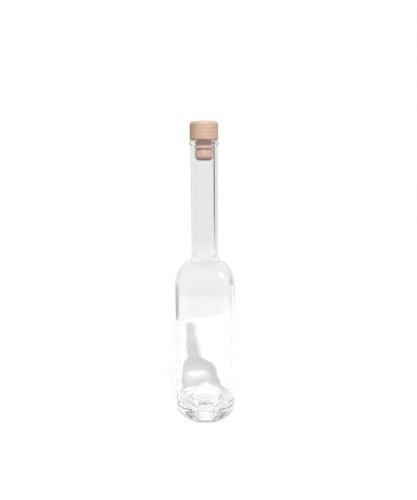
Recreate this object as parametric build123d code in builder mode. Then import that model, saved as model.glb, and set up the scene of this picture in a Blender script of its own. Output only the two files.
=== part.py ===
"""A straight-necked bottle of clear glass with its push-in wooden-headed stopper, in millimetres.

The origin is the centre of the circle that the bottle stands on, and +Z runs up the bottle.
"""

import os
from math import acos, atan2, cos, radians, sin, sqrt

from build123d import *

# Bottle, outside
glass_height = 280.0
body_diameter = 60.0
heel_radius = 13.0
standing_ring_width = 4.4
shoulder_height = 137.9
shoulder_lower_radius = 31.7
shoulder_upper_radius = 22.7
shoulder_change_angle = 40.0
neck_diameter = 26.0
neck_root_radius = 6.6
lip_diameter = 28.5
lip_bead_radius = 2.6
lip_root_radius = 0.8

# Bottle, inside
wall_thickness = 2.6
bore_diameter = 18.5
mouth_edge_radius = 0.8
inner_root_radius = 9.0
inner_heel_radius = 5.8
floor_thickness = 16.0

# Punt, the hollow pushed up into the base
punt_depth = 20.0
punt_crown_radius = 9.5
punt_rim_radius = 4.2
punt_crown_thickness = 14.0
punt_dome_radius = 11.0
crown_fit_share = 0.98

# Stopper head, turned from wood
head_diameter = 27.0
head_height = 17.5
head_top_round = 3.2
head_bottom_round = 1.6
socket_diameter = 11.0
socket_depth = 9.0
socket_chamfer = 0.6

# Stopper shank, moulded in one piece
shank_length = 19.0
barrel_diameter = 17.7
barrel_end_radius = 4.6
rib_clearance = 0.05
rib_drop = 5.4
rib_height = 2.2
rib_edge_chamfer = 0.3
groove_height = 1.5
groove_depth = 1.0
spigot_clearance = 0.1
spigot_end_gap = 0.8
spigot_end_chamfer = 0.8

body_radius = body_diameter / 2
neck_radius = neck_diameter / 2
bore_radius = bore_diameter / 2
inner_body_radius = body_radius - wall_thickness


def flank_between(top, crown_radius, foot_centre, foot_radius):
    """Ends of the straight flank between a crown, whose circle has its centre on the axis and its top
    at a given height, and the foot circle that it comes down to. The widest crown would touch the foot
    circle, so a crown too wide for its place is narrowed until a flank is left."""
    rise = top - (foot_centre.Y - foot_radius)
    widest = (foot_centre.X**2 + rise**2) / (2 * rise) - foot_radius
    radius = min(crown_radius, crown_fit_share * widest)
    crown_centre = Vector(0, top - radius)
    span = foot_centre - crown_centre
    turn = atan2(span.Y, span.X) + acos((radius + foot_radius) / span.length)
    outward = Vector(cos(turn), sin(turn))
    return crown_centre + outward * radius, foot_centre - outward * foot_radius


def root_between(wall_radius, root_radius, circle_centre, circle_radius, side):
    """Where a hollow root touches an upright wall and a circle that swells out of it. The root lies
    above the circle with side 1 and below it with side -1."""
    across = wall_radius + root_radius - circle_centre.X
    climb = sqrt((circle_radius + root_radius) ** 2 - across**2)
    root_centre = circle_centre + Vector(across, side * climb)
    reach = circle_radius / (circle_radius + root_radius)
    on_circle = circle_centre + (root_centre - circle_centre) * reach
    return Vector(wall_radius, root_centre.Y), on_circle


# Shoulder: two arcs, the upper one tighter, each with one centre for its outer and inner skins
change_angle = radians(shoulder_change_angle)
change_direction = Vector(cos(change_angle), sin(change_angle))
lower_shoulder_centre = Vector(body_radius - shoulder_lower_radius, shoulder_height)
shoulder_change = lower_shoulder_centre + change_direction * shoulder_lower_radius
upper_shoulder_centre = shoulder_change - change_direction * shoulder_upper_radius
inner_shoulder_change = shoulder_change - change_direction * wall_thickness
neck_foot, shoulder_end = root_between(
    neck_radius, neck_root_radius, upper_shoulder_centre, shoulder_upper_radius, 1
)
bore_foot, inner_shoulder_end = root_between(
    bore_radius,
    inner_root_radius,
    upper_shoulder_centre,
    shoulder_upper_radius - wall_thickness,
    1,
)

# Lip: a bead round the mouth, flat on top where the stopper's head seats
bead_centre = Vector(lip_diameter / 2 - lip_bead_radius, glass_height - lip_bead_radius)
neck_top, bead_start = root_between(neck_radius, lip_root_radius, bead_centre, lip_bead_radius, -1)

# Punt: the same crown, flank and turn below and above the glass
ring_outer_radius = body_radius - heel_radius
ring_inner_radius = ring_outer_radius - standing_ring_width
punt_flank_top, punt_flank_foot = flank_between(
    punt_depth, punt_crown_radius, Vector(ring_inner_radius, punt_rim_radius), punt_rim_radius
)
dome_top = punt_depth + punt_crown_thickness
dome_flank_top, dome_flank_foot = flank_between(
    dome_top,
    punt_dome_radius,
    Vector(inner_body_radius - inner_heel_radius, floor_thickness + inner_heel_radius),
    inner_heel_radius,
)

with BuildPart() as glass_bottle:
    with BuildSketch(Plane.XZ):
        with BuildLine():
            # Underside, from the punt's crown out to the standing ring
            crown = TangentArc((0, punt_depth), punt_flank_top, tangent=(1, 0))
            flank = Line(crown @ 1, punt_flank_foot)
            rim = TangentArc(flank @ 1, (ring_inner_radius, 0), tangent=flank % 1)
            ring = Line(rim @ 1, (ring_outer_radius, 0))
            # Outer skin, up to the mouth
            heel = TangentArc(ring @ 1, (body_radius, heel_radius), tangent=ring % 1)
            wall = Line(heel @ 1, (body_radius, shoulder_height))
            lower_shoulder = TangentArc(wall @ 1, shoulder_change, tangent=wall % 1)
            upper_shoulder = TangentArc(lower_shoulder @ 1, shoulder_end, tangent=lower_shoulder % 1)
            neck_root = TangentArc(upper_shoulder @ 1, neck_foot, tangent=upper_shoulder % 1)
            neck = Line(neck_root @ 1, neck_top)
            lip_root = TangentArc(neck @ 1, bead_start, tangent=neck % 1)
            bead = TangentArc(lip_root @ 1, (bead_centre.X, glass_height), tangent=lip_root % 1)
            land = Line(bead @ 1, (bore_radius + mouth_edge_radius, glass_height))
            # Inner skin, down to the floor and up over the punt
            mouth_edge = TangentArc(
                land @ 1, (bore_radius, glass_height - mouth_edge_radius), tangent=land % 1
            )
            bore = Line(mouth_edge @ 1, bore_foot)
            bore_root = TangentArc(bore @ 1, inner_shoulder_end, tangent=bore % 1)
            inner_upper = TangentArc(bore_root @ 1, inner_shoulder_change, tangent=bore_root % 1)
            inner_lower = TangentArc(
                inner_upper @ 1, (inner_body_radius, shoulder_height), tangent=inner_upper % 1
            )
            inner_wall = Line(
                inner_lower @ 1, (inner_body_radius, floor_thickness + inner_heel_radius)
            )
            inner_heel = TangentArc(inner_wall @ 1, dome_flank_foot, tangent=inner_wall % 1)
            dome_flank = Line(inner_heel @ 1, dome_flank_top)
            dome = TangentArc(dome_flank @ 1, (0, dome_top), tangent=dome_flank % 1)
            Line(dome @ 1, crown @ 0)
        make_face()
    revolve(axis=Axis.Z)
glass_bottle.part.label = "glass_bottle"

# Stopper head: a turned knob that seats on the lip, with a blind socket in its underside
socket_radius = socket_diameter / 2
with BuildPart() as stopper_head:
    with BuildSketch(Plane.XY.offset(glass_height)):
        Circle(head_diameter / 2)
    extrude(amount=head_height)
    fillet(stopper_head.edges().filter_by(GeomType.CIRCLE).sort_by(Axis.Z)[-1], head_top_round)
    fillet(stopper_head.edges().filter_by(GeomType.CIRCLE).sort_by(Axis.Z)[0], head_bottom_round)
    with BuildSketch(Plane.XY.offset(glass_height)):
        Circle(socket_radius)
    extrude(amount=socket_depth, mode=Mode.SUBTRACT)
    socket_mouth = stopper_head.edges().filter_by(GeomType.CIRCLE).group_by(Axis.Z)[0]
    chamfer(socket_mouth.sort_by(SortBy.RADIUS)[0], socket_chamfer)
stopper_head.part.label = "stopper_head"

# Stopper shank: a barrel with one sealing rib and groove, and a spigot fixed in the head's socket
barrel_radius = barrel_diameter / 2
rib_radius = bore_radius - rib_clearance
spigot_radius = socket_radius - spigot_clearance
rib_top = glass_height - rib_drop
rib_bottom = rib_top - rib_height
groove_bottom = rib_bottom - groove_height
with BuildPart() as stopper_shank:
    with BuildSketch(Plane.XY.offset(glass_height - shank_length)):
        Circle(barrel_radius)
    extrude(amount=shank_length)
    fillet(stopper_shank.edges().filter_by(GeomType.CIRCLE).sort_by(Axis.Z)[0], barrel_end_radius)
    with BuildSketch(Plane.XY.offset(rib_bottom)):
        Circle(rib_radius)
    extrude(amount=rib_height)
    rib_edges = stopper_shank.edges().filter_by(GeomType.CIRCLE).sort_by(SortBy.RADIUS)[-2:]
    chamfer(rib_edges, rib_edge_chamfer)
    with BuildSketch(Plane.XY.offset(groove_bottom)):
        Circle(bore_radius)
        Circle(barrel_radius - groove_depth, mode=Mode.SUBTRACT)
    extrude(amount=groove_height, mode=Mode.SUBTRACT)
    with BuildSketch(Plane.XY.offset(glass_height)):
        Circle(spigot_radius)
    extrude(amount=socket_depth - spigot_end_gap)
    chamfer(stopper_shank.edges().filter_by(GeomType.CIRCLE).sort_by(Axis.Z)[-1], spigot_end_chamfer)
stopper_shank.part.label = "stopper_shank"

os.makedirs("parts", exist_ok=True)
export_step(glass_bottle.part, "parts/glass_bottle.step")
export_step(stopper_head.part, "parts/stopper_head.step")
export_step(stopper_shank.part, "parts/stopper_shank.step")
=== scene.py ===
"""Straight-necked bottle of clear glass with its wooden-headed stopper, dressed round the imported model.

Every surface is turned: a half outline of straight and round stretches is carried round the Z axis.
"""

import math

import bpy
import numpy as np
from mathutils import Matrix, Vector


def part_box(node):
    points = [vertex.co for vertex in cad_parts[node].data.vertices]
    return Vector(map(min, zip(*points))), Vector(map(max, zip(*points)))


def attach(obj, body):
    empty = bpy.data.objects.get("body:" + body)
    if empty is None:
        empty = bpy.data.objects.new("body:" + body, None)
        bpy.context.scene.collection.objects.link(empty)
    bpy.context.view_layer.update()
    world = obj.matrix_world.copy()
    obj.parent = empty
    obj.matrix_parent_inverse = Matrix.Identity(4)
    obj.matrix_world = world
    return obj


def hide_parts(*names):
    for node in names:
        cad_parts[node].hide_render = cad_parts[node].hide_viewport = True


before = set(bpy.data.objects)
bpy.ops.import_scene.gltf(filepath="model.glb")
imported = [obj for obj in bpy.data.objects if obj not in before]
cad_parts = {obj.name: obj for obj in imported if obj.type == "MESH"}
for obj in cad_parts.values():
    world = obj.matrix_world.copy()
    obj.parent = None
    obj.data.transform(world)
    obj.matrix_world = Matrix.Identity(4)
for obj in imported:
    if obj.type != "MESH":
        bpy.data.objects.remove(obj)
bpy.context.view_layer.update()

MM = 0.001
IMAGE_WIDTH = 417
IMAGE_HEIGHT = 500

# Sizes read from the frame
_, BOTTLE_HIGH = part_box("glass_bottle")
_, HEAD_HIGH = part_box("stopper_head")
SHANK_LOW, SHANK_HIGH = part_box("stopper_shank")
BODY_RADIUS = BOTTLE_HIGH[0]
GLASS_HEIGHT = BOTTLE_HIGH[2]
HEAD_RADIUS = HEAD_HIGH[0]
HEAD_TOP = HEAD_HIGH[2]
RIB_RADIUS = SHANK_HIGH[0]
SHANK_END = SHANK_LOW[2]
SPIGOT_TOP = SHANK_HIGH[2]

# Bottle, outside
HEEL_RADIUS = 13.0 * MM
STANDING_RING_WIDTH = 4.4 * MM
SHOULDER_HEIGHT = 137.9 * MM
SHOULDER_LOWER_RADIUS = 31.7 * MM
SHOULDER_UPPER_RADIUS = 22.7 * MM
SHOULDER_CHANGE_ANGLE = math.radians(40)
NECK_RADIUS = 13.0 * MM
NECK_ROOT_RADIUS = 6.6 * MM
LIP_RADIUS = 14.25 * MM
LIP_BEAD_RADIUS = 2.6 * MM
LIP_ROOT_RADIUS = 0.8 * MM

# Bottle, inside
WALL_THICKNESS = 2.6 * MM
BORE_RADIUS = 9.25 * MM
MOUTH_EDGE_RADIUS = 0.8 * MM
INNER_ROOT_RADIUS = 9.0 * MM
INNER_HEEL_RADIUS = 5.8 * MM
FLOOR_THICKNESS = 16.0 * MM

# Punt
PUNT_DEPTH = 20.0 * MM
PUNT_CROWN_RADIUS = 9.5 * MM
PUNT_RIM_RADIUS = 4.2 * MM
PUNT_CROWN_THICKNESS = 14.0 * MM
PUNT_DOME_RADIUS = 11.0 * MM
CROWN_FIT_SHARE = 0.98

# Stopper
HEAD_TOP_ROUND = 3.2 * MM
HEAD_BOTTOM_ROUND = 1.6 * MM
SOCKET_RADIUS = 5.5 * MM
SOCKET_DEPTH = 9.0 * MM
SOCKET_CHAMFER = 0.6 * MM
BARREL_RADIUS = 8.85 * MM
BARREL_END_RADIUS = 4.6 * MM
RIB_DROP = 5.4 * MM
RIB_HEIGHT = 2.2 * MM
RIB_CHAMFER = 0.3 * MM
GROOVE_HEIGHT = 1.5 * MM
GROOVE_DEPTH = 1.0 * MM
SPIGOT_RADIUS = 5.4 * MM
SPIGOT_CHAMFER = 0.8 * MM

# Lamp light through the glass: pairs of a place, from 0 where light meets a skin squarely to 1 where it
# grazes it, and the share that one skin lets by there. The base has the first shares, and each part
# above takes over at its own height, over a short stretch.
BASE_PASS_SHARES = ((0.0, 1.0), (0.4, 0.88), (1.0, 0.57))
WALL_PASS_SHARES = ((0.0, 1.0), (0.48, 0.98), (0.62, 0.55), (1.0, 0.35))
SHOULDER_PASS_SHARES = ((0.0, 0.88), (0.07, 0.88), (0.22, 0.62), (1.0, 0.35))
NECK_PASS_SHARES = ((0.0, 0.62), (0.5, 0.58), (1.0, 0.38))
MOUTH_PASS_SHARES = ((0.0, 1.0), (0.5, 0.96), (0.8, 0.85), (1.0, 0.5))
WALL_PASS_HEIGHT = 62.0 * MM
SHOULDER_PASS_HEIGHT = 104.0 * MM
NECK_PASS_HEIGHT = 166.0 * MM
MOUTH_PASS_HEIGHT = 262.0 * MM
PASS_BLEND = 6.0 * MM

# Painted shade in the glass's colour, which darkens what is seen through it towards its edges: the same
# pairs, for the body below and for all above the shoulder's foot, and the heights between which the one
# becomes the other
LOWER_PAINTED_EDGE_SHARES = ((0.0, 0.99), (0.5, 0.985), (0.72, 0.78), (1.0, 0.1))
UPPER_PAINTED_EDGE_SHARES = ((0.0, 0.99), (0.65, 0.985), (0.82, 0.82), (1.0, 0.2))
PAINTED_EDGE_CHANGE = (126.0 * MM, 140.0 * MM)

# Glass: how it bends light, what its depth absorbs, the depth of its waves, the share of that depth on
# the wall, and the heights between which the waves grow to their full depth on the way down
GLASS_IOR = 1.5
GLASS_TINT = 0.42
GLASS_DENSITY = 2.0
GLASS_WAVE_DEPTH = 0.25 * MM
WALL_UNEVEN_SHARE = 0.12
UNEVEN_TOP = 60.0 * MM
UNEVEN_FULL = 25.0 * MM

# Clouds in the materials: their size, a factor on each axis, where a small one draws them out along it,
# how finely they are broken up, and the levels of the noise where the mask leaves 0 and reaches 1
GLASS_WAVES = (9.0 * MM, (1, 1, 0.6), 1.0, 0.2, 0.8)
WOOD_FIBRES = (0.45 * MM, (1, 1, 0.05), 3.0, 0.3, 0.72)
WOOD_FLECKS = (0.55 * MM, (1, 1, 0.22), 0.0, 0.64, 0.74)
WOOD_DRIFT = (9.0 * MM, (1, 1, 0.5), 1.0, 0.3, 0.7)
PLASTIC_CLOUDS = (3.0 * MM, (1, 1, 1), 2.0, 0.3, 0.7)
PLASTIC_GRAIN = (0.25 * MM, (1, 1, 1), 1.0, 0.3, 0.7)

# Wood: how the grain is turned from upright to lie across the knob, how far off the middle of its tree
# lay, the width of a growth ring, and how far and how finely the rings wander
GRAIN_TURN = (math.radians(3), math.radians(88), math.radians(14))
PITH_PLACE = (30.0 * MM, -36.0 * MM, 0.0)
RING_SPACING = 3.4 * MM
RING_WANDER = 2.2
RING_WANDER_DETAIL = 2.0
RING_WANDER_SCALE = 0.6

# Wood: the screen colours of a growth ring's two bands, then of what lies over them, each with its
# share where it is strongest, and the roughness and relief that the fibres give
RING_COLOURS = ((187, 159, 140), (178, 147, 127))
DRIFT_COLOUR, DRIFT_SHARE = (192, 165, 147), 0.5
FIBRE_COLOUR, FIBRE_SHARE = (164, 131, 111), 0.22
FLECK_COLOUR, FLECK_SHARE = (135, 97, 76), 0.35
WOOD_ROUGHNESS = (0.48, 0.66)
FIBRE_RELIEF = -0.03 * MM

# Plastic: the screen colours of its clouds and its grain, and the roughness and relief of the grain
PLASTIC_COLOURS = ((196, 166, 149), (188, 157, 138))
GRAIN_COLOUR, GRAIN_SHARE = (174, 141, 120), 0.3
PLASTIC_ROUGHNESS = (0.36, 0.46)
GRAIN_RELIEF = 0.02 * MM

# The spacing of the rings in a wave texture of scale 1
WAVE_PERIOD = 2 * math.pi / 20

# Fineness of the turned surfaces
GLASS_SIDES = 256
STOPPER_SIDES = 144
ARC_STEP = math.radians(4)


class Outline:
    """A half outline in the (radius, height) plane. It is a chain of straight stretches and arcs, and
    each arc leaves the stretch before it without a kink. The surface faces right of the way it runs."""

    def __init__(self, start, heading):
        self.heading = np.array(heading, float)
        self.points = [np.array([start], float)]
        self.normals = [self.facing(self.heading)[None]]

    def facing(self, heading):
        """The heading turned a quarter turn clockwise."""
        return np.array([heading[1], -heading[0]])

    @property
    def end(self):
        return self.points[-1][-1]

    def add(self, points, headings):
        """Appends points, with the surface normal at each."""
        self.points.append(points)
        self.normals.append(np.stack([headings[:, 1], -headings[:, 0]], axis=1))
        self.heading = headings[-1]

    def line_to(self, point, corner=False):
        """A straight stretch. After a corner its start is written again, with the new normal."""
        point = np.array(point, float)
        along = point - self.end
        along /= np.linalg.norm(along)
        if corner:
            self.add(self.end[None].copy(), along[None])
        self.add(point[None], along[None])

    def arc_to(self, point):
        """The one arc that leaves along the heading and ends at the point. With the chord at an angle
        h from the heading, the arc turns by 2h and its radius is chord / (2 sin h)."""
        start, point = self.end, np.array(point, float)
        chord = point - start
        cross = self.heading[0] * chord[1] - self.heading[1] * chord[0]
        half_turn = math.atan2(cross, float(self.heading @ chord))
        radius = np.linalg.norm(chord) / (2 * math.sin(half_turn))
        centre = start + radius * np.array([-self.heading[1], self.heading[0]])
        steps = max(2, math.ceil(abs(2 * half_turn) / ARC_STEP))
        turn = np.linspace(0, 2 * half_turn, steps + 1)[1:]
        cos, sin = np.cos(turn), np.sin(turn)
        spoke = start - centre
        points = centre + np.stack(
            [spoke[0] * cos - spoke[1] * sin, spoke[0] * sin + spoke[1] * cos], axis=1
        )
        points[-1] = point
        headings = np.stack(
            [
                self.heading[0] * cos - self.heading[1] * sin,
                self.heading[0] * sin + self.heading[1] * cos,
            ],
            axis=1,
        )
        self.add(points, headings)

    def arrays(self):
        """All points and normals of the chain."""
        return np.concatenate(self.points), np.concatenate(self.normals)


def turned(name, outline, sides):
    """The outline carried once round the Z axis: point i at angle j lies at
    (radius_i cos j, radius_i sin j, height_i). Points on the axis become one pole each."""
    points, normals = outline.arrays()
    angle = np.linspace(0, 2 * np.pi, sides, endpoint=False)
    spin = np.stack([np.cos(angle), np.sin(angle)], axis=1)
    rings = np.empty((len(points), sides, 3))
    rings[..., :2] = points[:, None, :1] * spin[None]
    rings[..., 2] = points[:, None, 1]
    ring_normals = np.empty_like(rings)
    ring_normals[..., :2] = normals[:, None, :1] * spin[None]
    ring_normals[..., 2] = normals[:, None, 1]
    inner, inner_normals = rings[1:-1].reshape(-1, 3), ring_normals[1:-1].reshape(-1, 3)
    poles = np.array([[0, 0, points[0, 1]], [0, 0, points[-1, 1]]])
    vertices = np.concatenate([inner, poles])
    vertex_normals = np.concatenate([inner_normals, [[0, 0, normals[0, 1]], [0, 0, normals[-1, 1]]]])

    count = len(points) - 2
    here = np.arange(sides)
    nxt = (here + 1) % sides
    row = np.arange(count - 1)[:, None] * sides
    quads = np.stack([row + here, row + nxt, row + sides + nxt, row + sides + here], axis=-1)
    first, last = count * sides, count * sides + 1
    top_row = (count - 1) * sides
    start_fan = np.stack([np.full(sides, first), nxt, here], axis=1)
    end_fan = np.stack([np.full(sides, last), top_row + here, top_row + nxt], axis=1)

    mesh = bpy.data.meshes.new(name)
    faces = quads.reshape(-1, 4).tolist() + start_fan.tolist() + end_fan.tolist()
    mesh.from_pydata(vertices.tolist(), [], faces)
    mesh.shade_smooth()
    mesh.normals_split_custom_set_from_vertices(vertex_normals.tolist())
    mesh.update()
    piece = bpy.data.objects.new(name, mesh)
    bpy.context.scene.collection.objects.link(piece)
    return piece


def flank_between(top, crown_radius, foot_centre, foot_radius):
    """Ends of the straight flank between a crown, whose circle has its centre on the axis and its top at
    a given height, and the foot circle that it comes down to. The crown leaves room for a flank: the
    widest crown, which would touch the foot circle, has radius (across^2 + rise^2) / (2 rise) - foot
    radius."""
    foot_centre = np.array(foot_centre)
    across, rise = foot_centre[0], top - foot_centre[1] + foot_radius
    widest = (across**2 + rise**2) / (2 * rise) - foot_radius
    radius = min(crown_radius, CROWN_FIT_SHARE * widest)
    crown_centre = np.array([0, top - radius])
    span = foot_centre - crown_centre
    turn = math.atan2(span[1], span[0]) + math.acos((radius + foot_radius) / np.linalg.norm(span))
    outward = np.array([math.cos(turn), math.sin(turn)])
    return crown_centre + outward * radius, foot_centre - outward * foot_radius


def root_between(wall_radius, root_radius, circle_centre, circle_radius, side):
    """Where a hollow root touches an upright wall and a circle that swells out of it. The root lies
    above the circle with side 1 and below it with side -1."""
    circle_centre = np.array(circle_centre)
    across = wall_radius + root_radius - circle_centre[0]
    climb = math.sqrt((circle_radius + root_radius) ** 2 - across**2)
    root_centre = circle_centre + np.array([across, side * climb])
    reach = circle_radius / (circle_radius + root_radius)
    on_circle = circle_centre + (root_centre - circle_centre) * reach
    return np.array([wall_radius, root_centre[1]]), on_circle


def glass_outline():
    """The bottle's skin, from the punt's crown out over the standing ring, up the outside, over the
    lip, down the inside and up over the floor's dome."""
    change = np.array([math.cos(SHOULDER_CHANGE_ANGLE), math.sin(SHOULDER_CHANGE_ANGLE)])
    lower_centre = np.array([BODY_RADIUS - SHOULDER_LOWER_RADIUS, SHOULDER_HEIGHT])
    shoulder_change = lower_centre + change * SHOULDER_LOWER_RADIUS
    upper_centre = shoulder_change - change * SHOULDER_UPPER_RADIUS
    neck_foot, shoulder_end = root_between(
        NECK_RADIUS, NECK_ROOT_RADIUS, upper_centre, SHOULDER_UPPER_RADIUS, 1
    )
    bore_foot, inner_shoulder_end = root_between(
        BORE_RADIUS, INNER_ROOT_RADIUS, upper_centre, SHOULDER_UPPER_RADIUS - WALL_THICKNESS, 1
    )
    bead_centre = np.array([LIP_RADIUS - LIP_BEAD_RADIUS, GLASS_HEIGHT - LIP_BEAD_RADIUS])
    neck_top, bead_start = root_between(
        NECK_RADIUS, LIP_ROOT_RADIUS, bead_centre, LIP_BEAD_RADIUS, -1
    )
    ring_outer = BODY_RADIUS - HEEL_RADIUS
    ring_inner = ring_outer - STANDING_RING_WIDTH
    punt_top, punt_foot = flank_between(
        PUNT_DEPTH, PUNT_CROWN_RADIUS, (ring_inner, PUNT_RIM_RADIUS), PUNT_RIM_RADIUS
    )
    inner_body = BODY_RADIUS - WALL_THICKNESS
    dome_top = PUNT_DEPTH + PUNT_CROWN_THICKNESS
    dome_start, dome_foot = flank_between(
        dome_top,
        PUNT_DOME_RADIUS,
        (inner_body - INNER_HEEL_RADIUS, FLOOR_THICKNESS + INNER_HEEL_RADIUS),
        INNER_HEEL_RADIUS,
    )
    skin = Outline((0, PUNT_DEPTH), (1, 0))
    skin.arc_to(punt_top)
    skin.line_to(punt_foot)
    skin.arc_to((ring_inner, 0))
    skin.line_to((ring_outer, 0))
    skin.arc_to((BODY_RADIUS, HEEL_RADIUS))
    skin.line_to((BODY_RADIUS, SHOULDER_HEIGHT))
    skin.arc_to(shoulder_change)
    skin.arc_to(shoulder_end)
    skin.arc_to(neck_foot)
    skin.line_to(neck_top)
    skin.arc_to(bead_start)
    skin.arc_to((bead_centre[0], GLASS_HEIGHT))
    skin.line_to((BORE_RADIUS + MOUTH_EDGE_RADIUS, GLASS_HEIGHT))
    skin.arc_to((BORE_RADIUS, GLASS_HEIGHT - MOUTH_EDGE_RADIUS))
    skin.line_to(bore_foot)
    skin.arc_to(inner_shoulder_end)
    skin.arc_to(shoulder_change - change * WALL_THICKNESS)
    skin.arc_to((inner_body, SHOULDER_HEIGHT))
    skin.line_to((inner_body, FLOOR_THICKNESS + INNER_HEEL_RADIUS))
    skin.arc_to(dome_foot)
    skin.line_to(dome_start)
    skin.arc_to((0, dome_top))
    return skin


def head_outline():
    """The turned knob, from the roof of its socket down, out under the seat, up the side and in over
    the top."""
    skin = Outline((0, GLASS_HEIGHT + SOCKET_DEPTH), (1, 0))
    skin.line_to((SOCKET_RADIUS, GLASS_HEIGHT + SOCKET_DEPTH))
    skin.line_to((SOCKET_RADIUS, GLASS_HEIGHT + SOCKET_CHAMFER), corner=True)
    skin.line_to((SOCKET_RADIUS + SOCKET_CHAMFER, GLASS_HEIGHT), corner=True)
    skin.line_to((HEAD_RADIUS - HEAD_BOTTOM_ROUND, GLASS_HEIGHT), corner=True)
    skin.arc_to((HEAD_RADIUS, GLASS_HEIGHT + HEAD_BOTTOM_ROUND))
    skin.line_to((HEAD_RADIUS, HEAD_TOP - HEAD_TOP_ROUND))
    skin.arc_to((HEAD_RADIUS - HEAD_TOP_ROUND, HEAD_TOP))
    skin.line_to((0, HEAD_TOP))
    return skin


def shank_outline():
    """The moulded shank, from the middle of its end out round the barrel, up past the groove and the
    rib, in along the seat and up the spigot."""
    rib_top = GLASS_HEIGHT - RIB_DROP
    rib_bottom = rib_top - RIB_HEIGHT
    groove_bottom = rib_bottom - GROOVE_HEIGHT
    groove_radius = BARREL_RADIUS - GROOVE_DEPTH
    skin = Outline((0, SHANK_END), (1, 0))
    skin.line_to((BARREL_RADIUS - BARREL_END_RADIUS, SHANK_END))
    skin.arc_to((BARREL_RADIUS, SHANK_END + BARREL_END_RADIUS))
    for point in (
        (BARREL_RADIUS, groove_bottom),
        (groove_radius, groove_bottom),
        (groove_radius, rib_bottom),
        (RIB_RADIUS - RIB_CHAMFER, rib_bottom),
        (RIB_RADIUS, rib_bottom + RIB_CHAMFER),
        (RIB_RADIUS, rib_top - RIB_CHAMFER),
        (RIB_RADIUS - RIB_CHAMFER, rib_top),
        (BARREL_RADIUS, rib_top),
        (BARREL_RADIUS, GLASS_HEIGHT),
        (SPIGOT_RADIUS, GLASS_HEIGHT),
        (SPIGOT_RADIUS, SPIGOT_TOP - SPIGOT_CHAMFER),
        (SPIGOT_RADIUS - SPIGOT_CHAMFER, SPIGOT_TOP),
        (0, SPIGOT_TOP),
    ):
        skin.line_to(point, corner=True)
    return skin


def new_material(name):
    """A material with an empty node tree apart from its output and one Principled shader."""
    material = bpy.data.materials.new(name)
    material.use_nodes = True
    nodes = material.node_tree.nodes
    nodes.clear()
    output = nodes.new("ShaderNodeOutputMaterial")
    shader = nodes.new("ShaderNodeBsdfPrincipled")
    material.node_tree.links.new(shader.outputs[0], output.inputs["Surface"])
    return material, shader, output


def srgb(red, green, blue):
    """An eight-bit screen colour as the linear colour that shaders take."""
    channels = np.array([red, green, blue]) / 255
    linear = np.where(channels <= 0.04045, channels / 12.92, ((channels + 0.055) / 1.055) ** 2.4)
    return (*linear.tolist(), 1.0)


def mottle():
    """Cloudy unevenness for a surface: smooth noise on stretched coordinates gives a mask from 0 to 1,
    with a given number of clouds to the metre."""
    group = bpy.data.node_groups.new("mottle", "ShaderNodeTree")
    face = group.interface
    face.new_socket("Place", in_out="INPUT", socket_type="NodeSocketVector")
    face.new_socket("Stretch", in_out="INPUT", socket_type="NodeSocketVector")
    face.new_socket("Clouds per metre", in_out="INPUT", socket_type="NodeSocketFloat")
    face.new_socket("Detail", in_out="INPUT", socket_type="NodeSocketFloat")
    face.new_socket("Low", in_out="INPUT", socket_type="NodeSocketFloat")
    face.new_socket("High", in_out="INPUT", socket_type="NodeSocketFloat")
    face.new_socket("Mask", in_out="OUTPUT", socket_type="NodeSocketFloat")
    given = group.nodes.new("NodeGroupInput")
    result = group.nodes.new("NodeGroupOutput")
    stretched = group.nodes.new("ShaderNodeVectorMath")
    stretched.operation = "MULTIPLY"
    noise = group.nodes.new("ShaderNodeTexNoise")
    spread = group.nodes.new("ShaderNodeMapRange")
    spread.interpolation_type = "SMOOTHSTEP"
    group.links.new(given.outputs["Place"], stretched.inputs[0])
    group.links.new(given.outputs["Stretch"], stretched.inputs[1])
    group.links.new(stretched.outputs[0], noise.inputs["Vector"])
    group.links.new(given.outputs["Clouds per metre"], noise.inputs["Scale"])
    group.links.new(given.outputs["Detail"], noise.inputs["Detail"])
    group.links.new(noise.outputs["Fac"], spread.inputs["Value"])
    group.links.new(given.outputs["Low"], spread.inputs["From Min"])
    group.links.new(given.outputs["High"], spread.inputs["From Max"])
    group.links.new(spread.outputs[0], result.inputs["Mask"])
    return group


MOTTLE = mottle()


def clouds(tree, place, size, stretch, detail, low, high):
    """A mottle mask in a material, with clouds of a given size in metres."""
    node = tree.nodes.new("ShaderNodeGroup")
    node.node_tree = MOTTLE
    node.inputs["Stretch"].default_value = stretch
    node.inputs["Clouds per metre"].default_value = 1 / size
    node.inputs["Detail"].default_value = detail
    node.inputs["Low"].default_value = low
    node.inputs["High"].default_value = high
    tree.links.new(place, node.inputs["Place"])
    return node.outputs["Mask"]


def blend_colour(tree, mask, first, second):
    """A colour between two, which are colours or sockets, as a mask goes from 0 to 1."""
    mix = tree.nodes.new("ShaderNodeMix")
    mix.data_type = "RGBA"
    tree.links.new(mask, mix.inputs["Factor"])
    for given, socket in ((first, mix.inputs["A"]), (second, mix.inputs["B"])):
        if isinstance(given, tuple):
            socket.default_value = given
        else:
            tree.links.new(given, socket)
    return mix.outputs["Result"]


def scaled(tree, mask, low, high):
    """A mask from 0 to 1 as a value from low to high."""
    span = tree.nodes.new("ShaderNodeMapRange")
    span.inputs["To Min"].default_value = low
    span.inputs["To Max"].default_value = high
    tree.links.new(mask, span.inputs["Value"])
    return span.outputs[0]


def raised(tree, height, depth, shader):
    """Puts a relief of the given depth, in metres, on a shader's surface."""
    bump = tree.nodes.new("ShaderNodeBump")
    bump.inputs["Strength"].default_value = 1.0
    bump.inputs["Distance"].default_value = depth
    tree.links.new(height, bump.inputs["Height"])
    tree.links.new(bump.outputs[0], shader.inputs["Normal"])


def grey(level):
    """A neutral colour."""
    return level, level, level, 1


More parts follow.
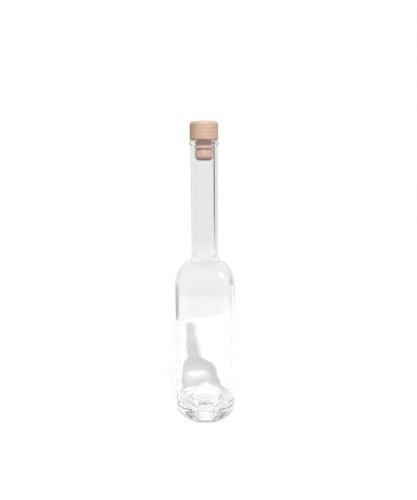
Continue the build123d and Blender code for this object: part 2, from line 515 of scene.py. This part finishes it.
def pass_ramp(tree, value, shares):
    """A grey ramp over a value, from pairs of a place along it and a share of white."""
    ramp = tree.nodes.new("ShaderNodeValToRGB")
    stops = ramp.color_ramp.elements
    stops.remove(stops[1])
    stops[0].position = shares[0][0]
    stops[0].color = grey(shares[0][1])
    for place, share in shares[1:]:
        stops.new(place).color = grey(share)
    tree.links.new(value, ramp.inputs["Fac"])
    return ramp.outputs["Color"]


def smooth(tree, value, start, end, low=0.0, high=1.0):
    """Goes smoothly from low, while the value is at start, to high, once it is at end."""
    step = tree.nodes.new("ShaderNodeMapRange")
    step.interpolation_type = "SMOOTHSTEP"
    for name, number in (("From Min", start), ("From Max", end), ("To Min", low), ("To Max", high)):
        step.inputs[name].default_value = number
    tree.links.new(value, step.inputs["Value"])
    return step.outputs[0]


def reckon(tree, operation, first, second, clamped=False):
    """One operation on a socket and a second socket or number."""
    node = tree.nodes.new("ShaderNodeMath")
    node.operation = operation
    node.use_clamp = clamped
    tree.links.new(first, node.inputs[0])
    if isinstance(second, float):
        node.inputs[1].default_value = second
    else:
        tree.links.new(second, node.inputs[1])
    return node.outputs[0]


def mixed(tree, share, first, second):
    """A shader that is the first where the share is 0 and the second where it is 1."""
    mix = tree.nodes.new("ShaderNodeMixShader")
    tree.links.new(share, mix.inputs["Fac"])
    tree.links.new(first, mix.inputs[1])
    tree.links.new(second, mix.inputs[2])
    return mix.outputs[0]


def clear_glass():
    """Clear soda-lime glass, a little uneven as blown glass is, and more so round the thick base. Painted
    shade in its colour darkens what is seen through it towards its edges. A ray on its way to a lamp, or
    one that gathers light for a matt surface, goes straight through and is dimmed: met squarely, the neck
    dims it most, the shoulder a little and the rest not at all, and every part dims it more where it
    grazes."""
    material, shader, output = new_material("clear_glass")
    tree = material.node_tree
    shader.inputs["Transmission Weight"].default_value = 1.0
    shader.inputs["Roughness"].default_value = 0.0
    shader.inputs["IOR"].default_value = GLASS_IOR
    place = tree.nodes.new("ShaderNodeTexCoord").outputs["Object"]
    split = tree.nodes.new("ShaderNodeSeparateXYZ")
    tree.links.new(place, split.inputs[0])
    height = split.outputs["Z"]
    waves = clouds(tree, place, *GLASS_WAVES)
    uneven = smooth(tree, height, UNEVEN_TOP, UNEVEN_FULL, WALL_UNEVEN_SHARE, 1.0)
    raised(tree, reckon(tree, "MULTIPLY", waves, uneven), GLASS_WAVE_DEPTH, shader)
    # With a blend of a half, facing is one minus the cosine of the angle to the normal
    weight = tree.nodes.new("ShaderNodeLayerWeight")
    weight.inputs["Blend"].default_value = 0.5
    facing = weight.outputs["Facing"]
    # Painted shade: the base colour darkens towards grazing, so the glass's edges show dark
    lower_painted_edge = pass_ramp(tree, facing, LOWER_PAINTED_EDGE_SHARES)
    upper_painted_edge = pass_ramp(tree, facing, UPPER_PAINTED_EDGE_SHARES)
    edge = blend_colour(tree, smooth(tree, height, *PAINTED_EDGE_CHANGE), lower_painted_edge, upper_painted_edge)
    tree.links.new(edge, shader.inputs["Base Color"])
    passed = pass_ramp(tree, facing, BASE_PASS_SHARES)
    for start, shares in (
        (WALL_PASS_HEIGHT, WALL_PASS_SHARES),
        (SHOULDER_PASS_HEIGHT, SHOULDER_PASS_SHARES),
        (NECK_PASS_HEIGHT, NECK_PASS_SHARES),
        (MOUTH_PASS_HEIGHT, MOUTH_PASS_SHARES),
    ):
        above = smooth(tree, height, start - PASS_BLEND / 2, start + PASS_BLEND / 2)
        passed = blend_colour(tree, above, passed, pass_ramp(tree, facing, shares))
    through = tree.nodes.new("ShaderNodeBsdfTransparent")
    tree.links.new(passed, through.inputs["Color"])
    path = tree.nodes.new("ShaderNodeLightPath").outputs
    from_matt = reckon(tree, "GREATER_THAN", path["Diffuse Depth"], 0.5)
    straight = reckon(tree, "ADD", from_matt, path["Is Shadow Ray"], clamped=True)
    surface = mixed(tree, straight, shader.outputs[0], through.outputs[0])
    tree.links.new(surface, output.inputs["Surface"])
    depth = tree.nodes.new("ShaderNodeVolumeAbsorption")
    depth.inputs["Color"].default_value = grey(GLASS_TINT)
    depth.inputs["Density"].default_value = GLASS_DENSITY
    tree.links.new(depth.outputs[0], output.inputs["Volume"])
    return material


def pale_wood():
    """Turned beech, with its grain across the knob. Growth rings round a pith outside the knob show as
    soft bands, and fine fibres and short dark flecks run along the grain."""
    material, shader, _ = new_material("pale_wood")
    tree = material.node_tree
    log = tree.nodes.new("ShaderNodeMapping")
    log.inputs["Location"].default_value = PITH_PLACE
    log.inputs["Rotation"].default_value = GRAIN_TURN
    tree.links.new(tree.nodes.new("ShaderNodeTexCoord").outputs["Object"], log.inputs["Vector"])
    place = log.outputs[0]
    rings = tree.nodes.new("ShaderNodeTexWave")
    rings.wave_type = "RINGS"
    rings.rings_direction = "Z"
    rings.inputs["Scale"].default_value = WAVE_PERIOD / RING_SPACING
    rings.inputs["Distortion"].default_value = RING_WANDER
    rings.inputs["Detail"].default_value = RING_WANDER_DETAIL
    rings.inputs["Detail Scale"].default_value = RING_WANDER_SCALE
    tree.links.new(place, rings.inputs["Vector"])
    fibres = clouds(tree, place, *WOOD_FIBRES)
    flecks = clouds(tree, place, *WOOD_FLECKS)
    drift = clouds(tree, place, *WOOD_DRIFT)
    colour = blend_colour(tree, rings.outputs["Fac"], *(srgb(*band) for band in RING_COLOURS))
    for mask, share, over in (
        (drift, DRIFT_SHARE, DRIFT_COLOUR),
        (fibres, FIBRE_SHARE, FIBRE_COLOUR),
        (flecks, FLECK_SHARE, FLECK_COLOUR),
    ):
        colour = blend_colour(tree, scaled(tree, mask, 0, share), colour, srgb(*over))
    tree.links.new(colour, shader.inputs["Base Color"])
    tree.links.new(scaled(tree, fibres, *WOOD_ROUGHNESS), shader.inputs["Roughness"])
    raised(tree, fibres, FIBRE_RELIEF, shader)
    return material


def beige_plastic():
    """Moulded elastomer with a satin skin: a fine even grain, and soft clouds in its colour."""
    material, shader, _ = new_material("beige_plastic")
    tree = material.node_tree
    place = tree.nodes.new("ShaderNodeTexCoord").outputs["Object"]
    cloud = clouds(tree, place, *PLASTIC_CLOUDS)
    grain = clouds(tree, place, *PLASTIC_GRAIN)
    coloured = blend_colour(tree, cloud, *(srgb(*colour) for colour in PLASTIC_COLOURS))
    grained = blend_colour(tree, scaled(tree, grain, 0, GRAIN_SHARE), coloured, srgb(*GRAIN_COLOUR))
    tree.links.new(grained, shader.inputs["Base Color"])
    tree.links.new(scaled(tree, grain, *PLASTIC_ROUGHNESS), shader.inputs["Roughness"])
    raised(tree, grain, GRAIN_RELIEF, shader)
    return material


def dress(name, outline, sides, material, body, node):
    """Turns a piece, gives it its finish, and puts it in the place of its node."""
    piece = turned(name, outline, sides)
    piece.data.materials.append(material)
    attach(piece, body)
    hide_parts(node)


# Floor: its corners and colour, how much brighter it looks than its light makes it, nearer and further
# than the places in its climb, and how much of it is plain white straight to the camera. Through glass
# its front part, past the edge, is one even tone.
FLOOR_CORNERS = ((-1.07, -0.024), (3.0, -1.506), (3.0, 1.32))
FLOOR_COLOUR = 0.9
FLOOR_GLOW = (0.3, 0.41)
GLOW_CLIMB = (0.2, 0.26)
FLOOR_WHITE_SHARE = 0.92
FRONT_EDGE = (-0.06, -0.12)
FRONT_LEVEL = 0.95

# Lamps
KEY_PLACE = (0.11, -0.75, 1.075)
KEY_SIZE = (0.04, 0.02)
KEY_WATTS = 17.4
SIDE_PLACE = (1.3, -0.1, 0.95)
SIDE_SIZE = (0.25, 0.5)
SIDE_WATTS = 1.0

# How many times a ray may turn inside the glass, and how many skins it may cross going straight through
LONGEST_PATH = 256
MOST_SKINS = 32

# Camera, from a fit of the outline in the photograph
CAMERA_AWAY = 500 * MM
CAMERA_HEIGHT = 266 * MM
CAMERA_PITCH = 0.182
CAMERA_ROLL = 0.0072
FOCAL_PIXELS = 514.5
AXIS_PIXEL_X = 204.77
SENSOR_MM = 36.0


def window_mask(tree, value, rise, full, fade, gone):
    """A mask that climbs from 0 at rise to 1 at full, and falls from 1 at fade to 0 at gone."""
    up = smooth(tree, value, rise, full)
    return reckon(tree, "MULTIPLY", up, smooth(tree, value, fade, gone, 1.0, 0.0))


def looked_through(tree):
    """1 for a ray that comes here through glass or off a shiny surface and has met nothing matt on its
    way from the camera, and 0 for every other ray."""
    path = tree.nodes.new("ShaderNodeLightPath").outputs
    either = reckon(tree, "ADD", path["Is Glossy Ray"], path["Is Transmission Ray"], clamped=True)
    fresh = reckon(tree, "LESS_THAN", path["Diffuse Depth"], 0.5)
    return reckon(tree, "MULTIPLY", either, fresh)


def white_floor():
    """White paper that keeps the bottle's shadow. To the camera and through glass it looks brighter
    than its own light makes it, more so further back. Straight to the camera most of it is plain
    white, and through glass its front part is one even tone."""
    material = bpy.data.materials.new("white_floor")
    material.use_nodes = True
    tree = material.node_tree
    tree.nodes.clear()
    output = tree.nodes.new("ShaderNodeOutputMaterial")
    paper = tree.nodes.new("ShaderNodeBsdfDiffuse")
    paper.inputs["Color"].default_value = grey(FLOOR_COLOUR)
    split = tree.nodes.new("ShaderNodeSeparateXYZ")
    tree.links.new(tree.nodes.new("ShaderNodeTexCoord").outputs["Object"], split.inputs[0])
    glow, plain, white = (tree.nodes.new("ShaderNodeEmission") for _ in range(3))
    plain.inputs["Strength"].default_value = FRONT_LEVEL
    # Painted light: the glow brightens the paper and lifts the bottle's shadow on it, to the camera and
    # through glass, more so further back
    climb = smooth(tree, split.outputs["Y"], *GLOW_CLIMB, *FLOOR_GLOW)
    tree.links.new(climb, glow.inputs["Strength"])
    lifted = tree.nodes.new("ShaderNodeAddShader")
    tree.links.new(paper.outputs[0], lifted.inputs[0])
    tree.links.new(glow.outputs[0], lifted.inputs[1])
    in_glass = looked_through(tree)
    to_camera = tree.nodes.new("ShaderNodeLightPath").outputs["Is Camera Ray"]
    seen = reckon(tree, "ADD", in_glass, to_camera)
    sheet = mixed(tree, seen, paper.outputs[0], lifted.outputs[0])
    in_front = reckon(tree, "MULTIPLY", smooth(tree, split.outputs["Y"], *FRONT_EDGE), in_glass)
    sheet = mixed(tree, in_front, sheet, plain.outputs[0])
    sheet = mixed(tree, scaled(tree, to_camera, 0, FLOOR_WHITE_SHARE), sheet, white.outputs[0])
    tree.links.new(sheet, output.inputs["Surface"])
    return material


def add_floor():
    """A flat sheet under the bottle. Its far edge runs at a slant a little way behind the bottle, and
    its near edge just in front of the camera."""
    mesh = bpy.data.meshes.new("studio_floor")
    mesh.from_pydata([(x, y, 0) for x, y in FLOOR_CORNERS], [], [(0, 1, 2)])
    mesh.materials.append(white_floor())
    floor = bpy.data.objects.new("studio_floor", mesh)
    bpy.context.scene.collection.objects.link(floor)


# The room: how strongly it lights the set, and how bright it looks through the glass. The base level
# has parts laid over it, the later over the earlier. Each has a level, then the bearing to the right of
# straight ahead and the height above the horizon, as the four angles of its window in degrees.
ROOM_LIGHT = 0.26
ROOM_LEVEL = 0.82
ALL_ROUND = (-200, -199, 199, 200)
ROOM_PARTS = (
    (0.92, ALL_ROUND, (-60, -59, -16, -15)),
    (0.88, ALL_ROUND, (-15.5, -14.5, -11, -9)),
    (0.96, ALL_ROUND, (5, 12, 80, 89)),
    (0.04, (40, 54, 66, 75), (-20, -18, 0, 5)),
    (0.50, (-46, -42, -24, -19), (-30, -29, -13, -10)),
)


def add_world():
    """A white background straight to the camera, the room's parts to what is looked at through glass
    or in a shine, and an even soft grey light to everything else."""
    world = bpy.data.worlds.new("studio")
    bpy.context.scene.world = world
    world.use_nodes = True
    tree = world.node_tree
    tree.nodes.clear()
    output = tree.nodes.new("ShaderNodeOutputWorld")
    white, room, soft = (tree.nodes.new("ShaderNodeBackground") for _ in range(3))
    white.inputs["Color"].default_value = grey(1)
    soft.inputs["Color"].default_value = grey(ROOM_LIGHT)
    split = tree.nodes.new("ShaderNodeSeparateXYZ")
    tree.links.new(tree.nodes.new("ShaderNodeTexCoord").outputs["Generated"], split.inputs[0])
    bearing = reckon(tree, "ARCTAN2", split.outputs["X"], split.outputs["Y"])
    height = tree.nodes.new("ShaderNodeMath")
    height.operation = "ARCSINE"
    tree.links.new(split.outputs["Z"], height.inputs[0])
    shade = grey(ROOM_LEVEL)
    for level, bearings, heights in ROOM_PARTS:
        across = window_mask(tree, bearing, *map(math.radians, bearings))
        up = window_mask(tree, height.outputs[0], *map(math.radians, heights))
        shade = blend_colour(tree, reckon(tree, "MULTIPLY", across, up), shade, grey(level))
    tree.links.new(shade, room.inputs["Color"])
    around = mixed(tree, looked_through(tree), soft.outputs[0], room.outputs[0])
    to_camera = tree.nodes.new("ShaderNodeLightPath").outputs["Is Camera Ray"]
    tree.links.new(mixed(tree, to_camera, around, white.outputs[0]), output.inputs["Surface"])


def add_lamp(name, place, size, watts):
    """An area lamp aimed at the middle of the bottle."""
    lamp = bpy.data.lights.new(name, "AREA")
    lamp.shape = "RECTANGLE"
    lamp.size, lamp.size_y = size
    lamp.energy = watts
    light = bpy.data.objects.new(name, lamp)
    bpy.context.scene.collection.objects.link(light)
    light.location = place
    towards = Vector((0, 0, GLASS_HEIGHT / 2)) - Vector(place)
    light.rotation_euler = towards.to_track_quat("-Z", "Y").to_euler()


def add_camera():
    """The camera stands in front on -Y, pitched down and rolled a little, with the bottle's axis left
    of the picture's middle by a small shift."""
    data = bpy.data.cameras.new("camera")
    data.sensor_fit = "AUTO"
    data.sensor_width = SENSOR_MM
    data.lens = FOCAL_PIXELS / IMAGE_HEIGHT * SENSOR_MM
    data.shift_x = (IMAGE_WIDTH / 2 - AXIS_PIXEL_X) / IMAGE_HEIGHT
    camera = bpy.data.objects.new("camera", data)
    bpy.context.scene.collection.objects.link(camera)
    camera.location = (0, -CAMERA_AWAY, CAMERA_HEIGHT)
    pitch = Matrix.Rotation(math.pi / 2 - CAMERA_PITCH, 3, "X")
    camera.rotation_euler = (pitch @ Matrix.Rotation(-CAMERA_ROLL, 3, "Z")).to_euler()
    bpy.context.scene.camera = camera


add_camera()
dress("bottle", glass_outline(), GLASS_SIDES, clear_glass(), "bottle", "glass_bottle")
dress("head", head_outline(), STOPPER_SIDES, pale_wood(), "stopper", "stopper_head")
dress("shank", shank_outline(), STOPPER_SIDES, beige_plastic(), "stopper", "stopper_shank")
add_floor()
add_world()
add_lamp("key", KEY_PLACE, KEY_SIZE, KEY_WATTS)
add_lamp("side", SIDE_PLACE, SIDE_SIZE, SIDE_WATTS)

scene = bpy.context.scene
scene.view_settings.view_transform = "Standard"
scene.cycles.max_bounces = LONGEST_PATH
scene.cycles.glossy_bounces = LONGEST_PATH
scene.cycles.transmission_bounces = LONGEST_PATH
scene.cycles.transparent_max_bounces = MOST_SKINS
scene.cycles.use_denoising = True
